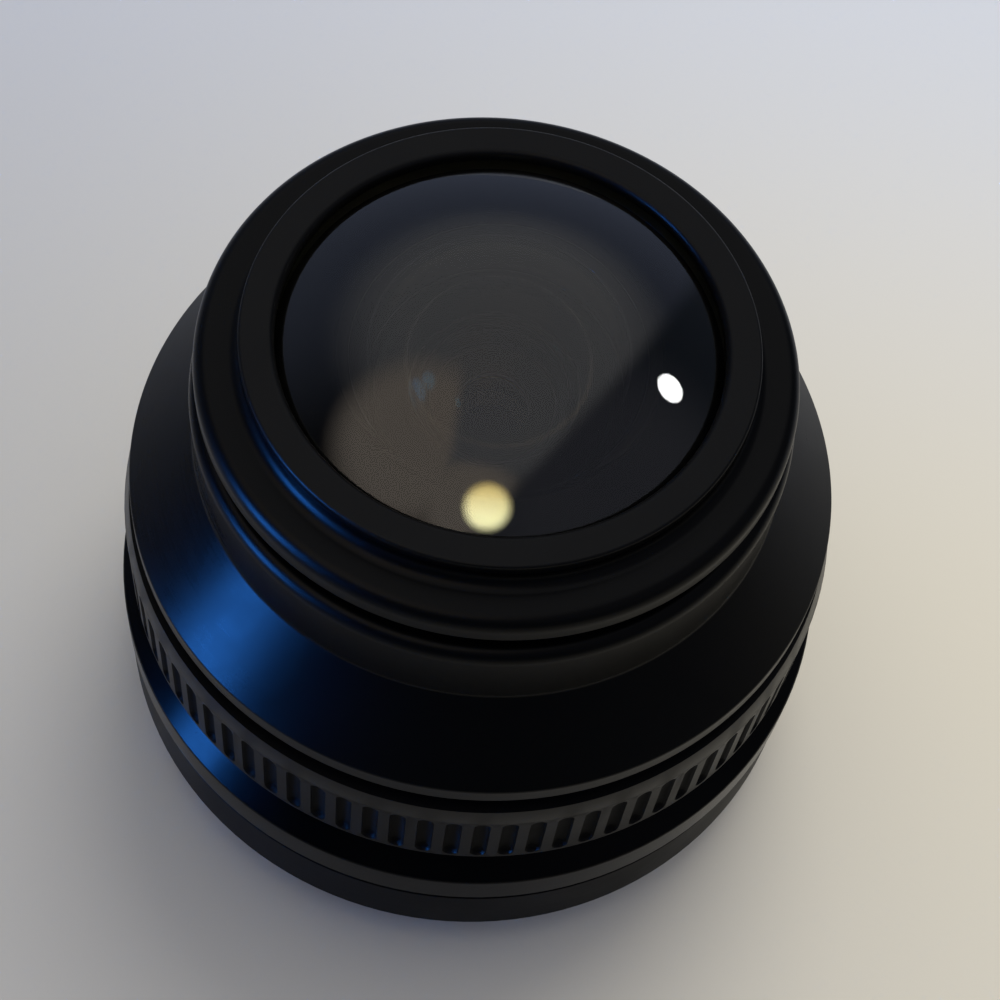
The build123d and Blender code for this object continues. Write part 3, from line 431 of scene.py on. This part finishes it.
def joined(name, marks):
    """Make one piece of several marks."""
    deselect()
    for one in marks:
        one.select_set(True)
    bpy.context.view_layer.objects.active = marks[0]
    bpy.ops.object.join()
    piece = name_it(bpy.context.object, name)
    edit_all(piece)
    bpy.ops.mesh.remove_doubles(threshold=merge_gap)
    done()
    smooth(piece)
    return piece


def make_aperture_marks():
    level = (z_ring_low + z_ring_top) / 2 - stop_drop
    marks = []
    for i, number in enumerate(stop_numbers):
        angle = index_angle - stop_step * i
        marks.append(word(number, stop_size, ring_r, angle, level))
        marks.append(dash(stop_line_h, ring_r, angle, z_ring_top - stop_line_drop))
    return joined("aperture_marks", marks)


def make_distance_marks():
    lean = degrees(atan2(grip_chamfer_w, grip_chamfer_h))
    radius = grip_r - grip_chamfer_w / 2
    level = z_grip_top - grip_chamfer_h / 2
    marks = [word("8", infinity_size, radius, index_angle, level, lean, spin=90)]
    for back, number in distances:
        marks.append(word(number, distance_size, radius, index_angle - back, level, lean))
    return joined("distance_marks", marks)


def make_index_lines():
    middle = (band_low + band_top) / 2
    gap = bead_r + bead_gap
    low, high = band_low + band_foot_gap, band_top - band_head_gap
    lines = [dash(middle - gap - low, band_r, index_angle, (low + middle - gap) / 2),
             dash(high - middle - gap, band_r, index_angle, (high + middle + gap) / 2)]
    return joined("index_lines", lines)


# Finishes

dust_cells = 420.0          # cells per metre, each with one speck or none
dusty_share = 0.06
speck_r = 0.16 * mm
dust_colour = (0.06, 0.058, 0.054)
lint_colour = (0.05, 0.048, 0.045)
grain_h = 0.12 * mm         # full height of the lathe's rings and the metal's grain
socket_names = {
    "ior": "IOR", "specular": "Specular IOR Level", "transmission": "Transmission Weight",
    "coat": "Coat Weight", "thin_film_ior": "Thin Film IOR"}


class Wire:
    """An output socket that takes part in sums like a number."""

    def __init__(self, nodes, socket):
        self.nodes = nodes
        self.socket = socket

    def __add__(self, other):
        return self.nodes.maths("ADD", self, other)

    def __radd__(self, other):
        return self.nodes.maths("ADD", other, self)

    def __sub__(self, other):
        return self.nodes.maths("SUBTRACT", self, other)

    def __rsub__(self, other):
        return self.nodes.maths("SUBTRACT", other, self)

    def __mul__(self, other):
        return self.nodes.maths("MULTIPLY", self, other)

    def __rmul__(self, other):
        return self.nodes.maths("MULTIPLY", other, self)

    def __gt__(self, other):
        return self.nodes.maths("GREATER_THAN", self, other)

    def __lt__(self, other):
        return self.nodes.maths("LESS_THAN", self, other)


class Nodes:
    """A node tree that is written as expressions."""

    def __init__(self, tree):
        self.tree = tree
        tree.nodes.clear()

    def node(self, kind, settings=None, sockets=None, output=0):
        """Add a node: its type, its settings first, then values or wires of its sockets."""
        made = self.tree.nodes.new(kind)
        for key, value in (settings or {}).items():
            setattr(made, key, value)
        for key, value in (sockets or {}).items():
            self.plug(made.inputs[key], value)
        return Wire(self, made.outputs[output])

    def plug(self, socket, value):
        if isinstance(value, Wire):
            self.tree.links.new(value.socket, socket)
        elif socket.type == "RGBA":
            socket.default_value = (*value[:3], 1)
        else:
            socket.default_value = value

    def maths(self, operation, *values):
        return self.node("ShaderNodeMath", {"operation": operation}, dict(enumerate(values)))

    def vector(self, operation, *values, output=0):
        return self.node("ShaderNodeVectorMath", {"operation": operation}, dict(enumerate(values)), output)

    def mix(self, factor, first, second):
        """Blend two colours."""
        return self.node("ShaderNodeMix", {"data_type": "RGBA"}, {0: factor, 6: first, 7: second}, 2)

    def span(self, value, low, high, start=0.0, end=1.0):
        """Bring a value's range from low to high onto start to end, with soft ends."""
        return self.node("ShaderNodeMapRange", {"interpolation_type": "SMOOTHSTEP"},
                         {0: value, 1: low, 2: high, 3: start, 4: end})

    def noise(self, place, scale, detail=2.0, roughness=0.5, distortion=0.0):
        return self.node("ShaderNodeTexNoise", {"noise_dimensions": "3D"},
                         {"Vector": place, "Scale": scale, "Detail": detail, "Roughness": roughness,
                          "Distortion": distortion})


class Finish(Nodes):
    """A material with one main shader and the places that its detail reads."""

    def __init__(self, name, **constants):
        self.material = bpy.data.materials.new(name)
        self.material.use_nodes = True
        super().__init__(self.material.node_tree)
        self.shader = self.tree.nodes.new("ShaderNodeBsdfPrincipled")
        output = self.tree.nodes.new("ShaderNodeOutputMaterial")
        self.tree.links.new(self.shader.outputs[0], output.inputs[0])
        self.place = self.node("ShaderNodeTexCoord", output=3)
        parts = self.tree.nodes.new("ShaderNodeSeparateXYZ")
        self.tree.links.new(self.place.socket, parts.inputs[0])
        self.x, self.y, self.z = (Wire(self, out) for out in parts.outputs)
        self.wear(**constants)

    def wear(self, **values):
        """Set the main shader's sockets: underscores stand for blanks, and some have a shorter name."""
        for key, value in values.items():
            name = socket_names.get(key, key.replace("_", " ").title())
            self.plug(self.shader.inputs[name], value)

    def radius(self):
        return self.maths("SQRT", self.x * self.x + self.y * self.y)

    def turning(self, pitch):
        """Fine rings left by the lathe: noise that varies along the profile only."""
        along = self.node("ShaderNodeCombineXYZ", sockets={0: self.radius(), 1: self.z, 2: 0.0})
        return self.noise(along, 1 / pitch, detail=3.0, roughness=0.7)

    def bump(self, height, strength, distance):
        return self.node("ShaderNodeBump", sockets={"Strength": strength, "Distance": distance, "Height": height})

    def dust(self):
        """Mask of a few specks of dust: small cells, of which a share is used."""
        cells = {"Vector": self.place, "Scale": dust_cells}
        distance = self.node("ShaderNodeTexVoronoi", {"feature": "F1"}, cells)
        colour = self.node("ShaderNodeTexVoronoi", {"feature": "F1"}, cells, output=1)
        red = self.node("ShaderNodeSeparateColor", sockets={0: colour})
        return (distance < speck_r * dust_cells) * (red < dusty_share)


def scaled(colour, share):
    return tuple(share * c for c in colour)


def black_metal(name, shade, roughness, specular):
    """Black anodised aluminium with lathe rings, a fine grain, smudges and a little dust."""
    finish = Finish(name, specular=specular)
    rings = finish.turning(0.35 * mm)
    fine = finish.noise(finish.place, scale=9000.0, detail=2.0, roughness=0.6)
    smudge = finish.noise(finish.place, scale=60.0, detail=4.0, roughness=0.6, distortion=0.6)
    patch = finish.span(smudge, 0.45, 0.7)
    specks = finish.dust()
    colour = finish.mix(fine, scaled(shade, 0.8), scaled(shade, 1.25))
    colour = finish.mix(patch * 0.3, colour, scaled(shade, 1.6))
    colour = finish.mix(specks * 0.2, colour, dust_colour)
    finish.wear(base_color=colour)
    finish.wear(roughness=roughness - 0.05 + 0.06 * rings + 0.05 * fine - 0.06 * patch + specks * 0.2)
    finish.wear(normal=finish.bump(rings * 0.06 + fine * 0.05, strength=0.5, distance=grain_h))
    return finish.material


def turned_metal(name, shade, roughness, stain, stain_share=0.2):
    """Bare or plated metal with lathe rings, fine scratches and stains that multiply its shade."""
    finish = Finish(name, metallic=1.0)
    rings = finish.turning(0.4 * mm)
    cloud = finish.noise(finish.place, scale=140.0, detail=5.0, roughness=0.65, distortion=1.0)
    fine = finish.noise(finish.place, scale=7000.0, detail=2.0)
    patch = finish.span(cloud, 0.5, 0.75)
    colour = finish.mix(patch * stain_share, shade, tuple(a * b for a, b in zip(shade, stain)))
    colour = finish.mix(rings * 0.25, colour, scaled(shade, 0.8))
    finish.wear(base_color=colour)
    finish.wear(roughness=roughness + 0.12 * rings - 0.06 + 0.04 * patch)
    finish.wear(normal=finish.bump(rings * 0.12 + fine * 0.03, strength=0.4, distance=grain_h))
    return finish.material


def lens_glass(name, tint, coating=0.0):
    """Polished glass with wiping marks in its gloss; the coating's thickness is in nanometres."""
    finish = Finish(name, base_color=tint, transmission=1.0, ior=1.5)
    wipe = finish.noise(finish.place, scale=90.0, detail=5.0, roughness=0.6, distortion=2.0)
    film = finish.span(wipe, 0.52, 0.8)
    finish.wear(roughness=0.002 + film * 0.01)
    if coating:
        finish.wear(thin_film_thickness=coating, thin_film_ior=1.23)
    return finish.material


def flat_black_paint(name):
    """Matt black paint of the light baffles, with a fine orange-peel grain."""
    finish = Finish(name, specular=0.06)
    fine = finish.noise(finish.place, scale=5000.0, detail=3.0, roughness=0.6)
    cloud = finish.noise(finish.place, scale=200.0, detail=3.0)
    finish.wear(base_color=finish.mix(cloud, (0.0015, 0.0015, 0.0015), (0.003, 0.003, 0.003)))
    finish.wear(roughness=0.75 + 0.15 * fine)
    finish.wear(normal=finish.bump(fine, strength=0.05, distance=0.03 * mm))
    return finish.material


def marking_paint(name, shade):
    """Paint rubbed into engraved marks, a little uneven and worn."""
    finish = Finish(name, specular=0.4)
    worn = finish.noise(finish.place, scale=4000.0, detail=3.0, roughness=0.7)
    patch = finish.span(worn, 0.5, 0.8)
    finish.wear(base_color=finish.mix(patch * 0.5, shade, scaled(shade, 0.45)))
    finish.wear(roughness=0.5 + 0.2 * worn)
    finish.wear(normal=finish.bump(worn, strength=0.3, distance=0.04 * mm))
    return finish.material


def sheet_rubber(name):
    """Dull black rubber of the gasket."""
    finish = Finish(name, specular=0.3)
    fine = finish.noise(finish.place, scale=3500.0, detail=4.0, roughness=0.7)
    finish.wear(base_color=finish.mix(fine, (0.008, 0.008, 0.008), (0.02, 0.02, 0.02)))
    finish.wear(roughness=0.7 + 0.2 * fine)
    finish.wear(normal=finish.bump(fine, strength=0.5, distance=0.08 * mm))
    return finish.material


def milled_grip(name, shade, roughness, specular):
    """The focus ring's black: satin lands, a glossier chamfer, and dull, dusty floors in the milled grooves,
    painted darker as shade.
    """
    finish = Finish(name, specular=specular, coat_roughness=0.16)
    rings = finish.turning(0.3 * mm)
    fine = finish.noise(finish.place, scale=8000.0, detail=3.0, roughness=0.6)
    smudge = finish.noise(finish.place, scale=70.0, detail=4.0, roughness=0.6, distortion=0.6)
    patch = finish.span(smudge, 0.45, 0.7)
    shaded_floor = finish.span(finish.radius(), grip_r - floor_depth, grip_r - land_depth, 1.0, 0.0)
    shaded_floor = shaded_floor * (finish.z > z_grip_low + foot_chamfer) * (finish.z < z_grip_top - grip_chamfer_h)
    lint = finish.span(finish.noise(finish.place, scale=900.0, detail=4.0, roughness=0.75), 0.58, 0.72)
    colour = finish.mix(fine, scaled(shade, 0.8), scaled(shade, 1.25))
    colour = finish.mix(patch * 0.3, colour, scaled(shade, 1.5))
    # Painted shade: the floors of the grooves are made darker, as shade in the recesses
    colour = finish.mix(shaded_floor, colour, scaled(shade, 0.5))
    colour = finish.mix(shaded_floor * lint * 0.08, colour, lint_colour)
    finish.wear(base_color=colour)
    finish.wear(roughness=roughness + 0.05 * fine - 0.06 * patch + 0.3 * shaded_floor)
    on_chamfer = (finish.z > z_grip_top - grip_chamfer_h) * (finish.radius() > grip_r - grip_chamfer_w)
    finish.wear(coat=0.3 * on_chamfer)
    finish.wear(normal=finish.bump(rings * 0.05 + fine * 0.08, strength=0.5, distance=grain_h))
    return finish.material


# The finishes by name: colour, roughness, and a black's specular level or a bare metal's stain
finishes = {
    "black_shroud": black_metal("black_shroud", (0.0008, 0.0008, 0.0008), 0.32, 0.08),
    "black_trim": black_metal("black_trim", (0.0012, 0.0012, 0.0012), 0.36, 0.11),
    "black_barrel": black_metal("black_barrel", (0.0010, 0.0010, 0.0011), 0.22, 0.05),
    "black_ring": black_metal("black_ring", (0.0014, 0.0014, 0.0015), 0.42, 0.03),
    "black_grip": milled_grip("black_grip", (0.0030, 0.0030, 0.0032), 0.36, 0.06),
    "mount_metal": turned_metal("mount_metal", (0.62, 0.61, 0.58), 0.26, stain=(0.8, 0.78, 0.72)),
    "steel": turned_metal("steel", (0.5, 0.5, 0.5), 0.32, stain=(0.7, 0.66, 0.6)),
    "black_steel": turned_metal("black_steel", (0.04, 0.04, 0.042), 0.38, stain=(2.0, 1.9, 1.8)),
    "blade_steel": turned_metal("blade_steel", (0.06, 0.06, 0.065), 0.42, stain=(1.5, 1.4, 1.6)),
    "brass": turned_metal("brass", (0.6, 0.45, 0.2), 0.3, stain=(0.6, 0.5, 0.4), stain_share=0.4),
    "helicoid_aluminium": turned_metal(
        "helicoid_aluminium", (0.05, 0.05, 0.05), 0.35, stain=(0.6, 0.6, 0.6)),
    "flat_black": flat_black_paint("flat_black"),
    "coated_glass": lens_glass("coated_glass", (0.96, 0.98, 0.99)),
    "clear_glass": lens_glass("clear_glass", (0.98, 0.99, 0.98), coating=112.0),
    "gasket_rubber": sheet_rubber("gasket_rubber"),
    "index_bead": marking_paint("index_bead", (0.72, 0.70, 0.64)),
}


# Which slot each node has
slot_of = {
    "bayonet_mount": "mount_metal", "mount_screws": "steel", "baffle_screws": "black_steel",
    "rear_baffle": "flat_black", "rear_barrel": "black_barrel", "mount_index_bead": "index_bead",
    "focus_retaining_ring": "brass", "focus_stop_pin": "steel", "guide_keys": "brass", "key_screws": "steel",
    "detent_ball": "steel", "detent_spring": "steel", "focus_ring": "black_grip", "helicoid_nut": "brass",
    "nut_screws": "black_steel", "helicoid_barrel": "helicoid_aluminium", "barrel_screws": "steel",
    "front_barrel": "flat_black", "front_gasket": "gasket_rubber", "second_element": "clear_glass",
    "second_retaining_ring": "flat_black", "spacer_ring": "flat_black", "third_element": "clear_glass",
    "iris_housing": "flat_black", "iris_snap_ring": "steel", "iris_cam_ring": "brass",
    "rear_cell": "black_barrel", "fourth_element": "clear_glass", "rear_spacer": "flat_black",
    "fifth_element": "clear_glass", "sixth_element": "clear_glass", "thin_spacer": "flat_black",
    "seventh_element": "coated_glass", "rear_retaining_ring": "flat_black", "aperture_ring": "black_barrel",
    "aperture_fork": "steel", "fork_screws": "black_steel",
}
for number in range(1, 7):
    slot_of[f"iris_blade_{number}"] = "blade_steel"


def finish_piece(piece, node, slot, finish=None):
    """Give a piece the finish of its slot, or another finish if one is given, and the body of its node. Most
    finishes are named after their slot.
    """
    piece.data.materials.clear()
    piece.data.materials.append(finishes[finish or slot])
    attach(piece, body_of[node])
    return piece


for piece, node, slot in (
        (make_shroud(), "front_shroud", "black_shroud"),
        (make_bezel(), "front_bezel", "black_shroud"),
        (make_cover_ring(), "front_retaining_ring", "black_trim"),
        (make_front_glass(), "front_element", "coated_glass")):
    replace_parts(finish_piece(piece, node, slot), node)
coat_rear(bpy.data.objects["front_glass"])
for piece, node in ((make_aperture_marks(), "aperture_ring"), (make_distance_marks(), "focus_ring"),
                    (make_index_lines(), "rear_barrel")):
    finish_piece(piece, node, "index_bead")

finish_of = {"aperture_ring": "black_ring"}
broken_edges = dict.fromkeys(
    ("bayonet_mount", "rear_barrel", "aperture_ring", "rear_cell", "focus_ring"), 0.08 * mm)
broken_edges["rear_baffle"] = 0.05 * mm
soft_edges = {"rear_barrel": [(band_r, band_top, 1.2 * mm, 10)]}
for node, slot in slot_of.items():
    piece = skin(node, broken_edges.get(node, 0.0), soft_edges.get(node, ()))
    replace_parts(finish_piece(piece, node, slot, finish_of.get(node)), node)


# Studio

lens_mm = 75.6
sensor_mm = 36.0
camera_place = Vector((2.0596, -102.8966, 212.2605)) * mm
camera_right = Vector((0.98762, 0.13656, 0.07716))
camera_back = Vector((0.0, -0.49192, 0.87064))
inner_light = 0.07          # share of the room's light that gets in and out of the lens
lamp_aim = Vector((0, 0, 0.04))
backdrop = (0.78, 0.80, 0.83)
window_blue = (2.6, 20.0, 78.0)
ceiling_edge = (0.816, -0.476, -0.329)  # square to the plane that parts the ceiling from the dim right

# Directions of the lamps that the front glass mirrors as two bright spots
white_spot = Vector((0.69, 0.37, 0.613)).normalized()
yellow_spot = Vector((0.052, -0.445, 0.899)).normalized()


def make_camera():
    data = bpy.data.cameras.new("camera")
    data.lens = lens_mm
    data.sensor_width = sensor_mm
    data.clip_start = 0.01
    camera = bpy.data.objects.new("camera", data)
    bpy.context.scene.collection.objects.link(camera)
    back = camera_back.normalized()
    right = (camera_right - camera_right.dot(back) * back).normalized()
    up = back.cross(right)
    camera.matrix_world = Matrix((
        (right.x, up.x, back.x, camera_place.x),
        (right.y, up.y, back.y, camera_place.y),
        (right.z, up.z, back.z, camera_place.z),
        (0, 0, 0, 1)))
    bpy.context.scene.camera = camera


def heading(azimuth, elevation):
    """Direction from the lens: azimuth from -Y towards +X, elevation over the table, in degrees."""
    a, e = radians(azimuth), radians(elevation)
    return Vector((sin(a) * cos(e), -cos(a) * cos(e), sin(e)))


def make_lamp(name, direction, distance, size, power, colour, mirrors=None, soft=0.0, far_colour=None):
    """A round lamp that faces the lens. With mirrors, it shows only as a glint in those pieces.

    Soft is the share of its radius over which it fades out. The far colour is that of
    its far side, which is the upper side of the yellow glint in the picture.
    """
    data = bpy.data.lights.new(name, "AREA")
    data.shape = "DISK"
    data.size = size
    data.energy = power
    data.color = colour
    lamp = bpy.data.objects.new(name, data)
    bpy.context.scene.collection.objects.link(lamp)
    turn = direction.to_track_quat("Z", "Y").to_matrix().to_4x4()
    lamp.matrix_world = Matrix.Translation(lamp_aim + direction * distance) @ turn
    lamp.visible_camera = False
    lamp.visible_transmission = False
    lamp.visible_glossy = mirrors is not None
    lamp.visible_diffuse = mirrors is None
    if mirrors:
        lamp.light_linking.receiver_collection = mirrors
    if soft:
        data.use_nodes = True
        nodes = Nodes(data.node_tree)
        spot = nodes.node("ShaderNodeNewGeometry", output=5)
        out = nodes.vector("DISTANCE", spot, (0.5, 0.5, 0.0), output=1)
        across = nodes.node("ShaderNodeSeparateXYZ", sockets={0: spot}, output=1)
        shade = nodes.mix(nodes.span(across, 0.15, 1.0), colour, far_colour or colour)
        glow = nodes.node("ShaderNodeEmission", sockets={
            "Color": shade, "Strength": nodes.span(out, 0.5 * (1 - soft), 0.5, 1.0, 0.0)})
        data.color = (1, 1, 1)
        output = data.node_tree.nodes.new("ShaderNodeOutputLight")
        data.node_tree.links.new(glow.socket, output.inputs[0])


def make_table():
    """A large pale table whose colour holds painted light and shade: dimmer on the left, cooler at the back and
    warmer on the right.
    """
    deselect()
    bpy.ops.mesh.primitive_plane_add(size=6.0, location=(0, 0, 0))
    table = name_it(bpy.context.object, "table")
    finish = Finish("table_top", specular=0.15)
    # Painted light and shade: the colour is dimmer on the left, warmer on the right and cooler at the back
    side = finish.span(finish.x, -0.10, 0.07)
    far = finish.span(finish.y, 0.0, 0.13)
    cloud = finish.noise(finish.place, scale=9.0, detail=3.0)
    fine = finish.noise(finish.place, scale=900.0, detail=3.0)
    near = finish.mix(side, (0.43, 0.43, 0.43), (0.71, 0.66, 0.53))
    back = finish.mix(side, (0.48, 0.51, 0.58), (0.60, 0.63, 0.68))
    colour = finish.mix(far, near, back)
    colour = finish.mix(cloud * 0.15, colour, (0.52, 0.53, 0.56))
    finish.wear(base_color=colour)
    finish.wear(roughness=0.5 + 0.1 * cloud, normal=finish.bump(fine, strength=0.1, distance=0.1 * mm))
    table.data.materials.append(finish.material)


def make_world():
    """Plain pale fill for diffuse light, and a soft room for what gloss and glass mirror."""
    world = bpy.data.worlds.new("studio")
    bpy.context.scene.world = world
    world.use_nodes = True
    nodes = Nodes(world.node_tree)
    direction = nodes.node("ShaderNodeTexCoord", output=0)

    def towards(way):
        return nodes.vector("DOT_PRODUCT", direction, tuple(way), output=1)

    def lobe(azimuth, elevation, full, edge):
        """Mask that is 1 within full degrees of a heading and falls to 0 at edge degrees."""
        return nodes.span(towards(heading(azimuth, elevation)), cos(radians(edge)), cos(radians(full)))

    # The left and back of the room: a pale wall, a ceiling over it and its warm part
    wall = nodes.mix(lobe(-165, 0, 35, 95), (0.02, 0.02, 0.022), (0.23, 0.27, 0.39))
    overhead = nodes.maths("MAXIMUM", lobe(180, 62, 24, 48), lobe(180, 85, 18, 32))
    ceiling = nodes.mix(overhead, wall, (0.78, 0.79, 0.83))
    warm_left = lobe(-65, 68, 15, 28) * nodes.span(towards((-1, 0, 0)), 0.12, 0.20)
    warm_near = lobe(-5, 64, 8, 18) * nodes.span(towards((0, -1, 0)), 0.20, 0.28)
    bright = nodes.mix(nodes.maths("MAXIMUM", warm_left, warm_near), ceiling, (1.40, 1.22, 1.05))
    # The dim right of the room, beyond the ceiling's edge
    dim = nodes.mix(lobe(70, 50, 15, 50), (0.08, 0.10, 0.14), (0.27, 0.28, 0.34))
    room = nodes.mix(nodes.span(towards(ceiling_edge), -0.06, 0.04), bright, dim)
    # A tall bluish window at the left
    room = nodes.mix(lobe(-62, 4, 4, 11), room, window_blue)
    room = nodes.mix(lobe(-63, 20, 3, 9), room, window_blue)
    # Plain light for what is not glossy, and less light inside the lens
    fill = nodes.mix(nodes.span(towards(heading(180, 50)), 0.1, 1.0), (0.14, 0.17, 0.32), (1.10, 1.09, 1.06))
    path = world.node_tree.nodes.new("ShaderNodeLightPath")
    camera_ray, glossy_ray, through_ray = (
        Wire(nodes, path.outputs[name]) for name in ("Is Camera Ray", "Is Glossy Ray", "Is Transmission Ray"))
    inside = nodes.vector("SCALE", room)
    inside.socket.node.inputs["Scale"].default_value = inner_light
    light = nodes.mix(glossy_ray, fill, room)
    light = nodes.mix(through_ray, light, inside)
    light = nodes.mix(camera_ray, light, backdrop)
    back = nodes.node("ShaderNodeBackground", sockets={"Color": light, "Strength": 1.0})
    output = world.node_tree.nodes.new("ShaderNodeOutputWorld")
    world.node_tree.links.new(back.socket, output.inputs[0])
    world.cycles.sampling_method = "NONE"


make_camera()
make_table()
make_world()
mirrors = bpy.data.collections.new("mirrors")
mirrors.objects.link(bpy.data.objects["front_glass"])
make_lamp("key", heading(165, 55), distance=0.6, size=0.42, power=1.9, colour=(1.0, 0.98, 0.94))
make_lamp("white_glint", white_spot, distance=0.5, size=0.07, power=0.3, colour=(1, 1, 1),
          mirrors=mirrors, soft=0.15)
make_lamp("yellow_glint", yellow_spot, distance=0.5, size=0.14, power=1.1, colour=(1.0, 0.96, 0.52),
          mirrors=mirrors, soft=0.5, far_colour=(0.55, 0.40, 0.10))
bpy.context.scene.view_settings.view_transform = "Standard"
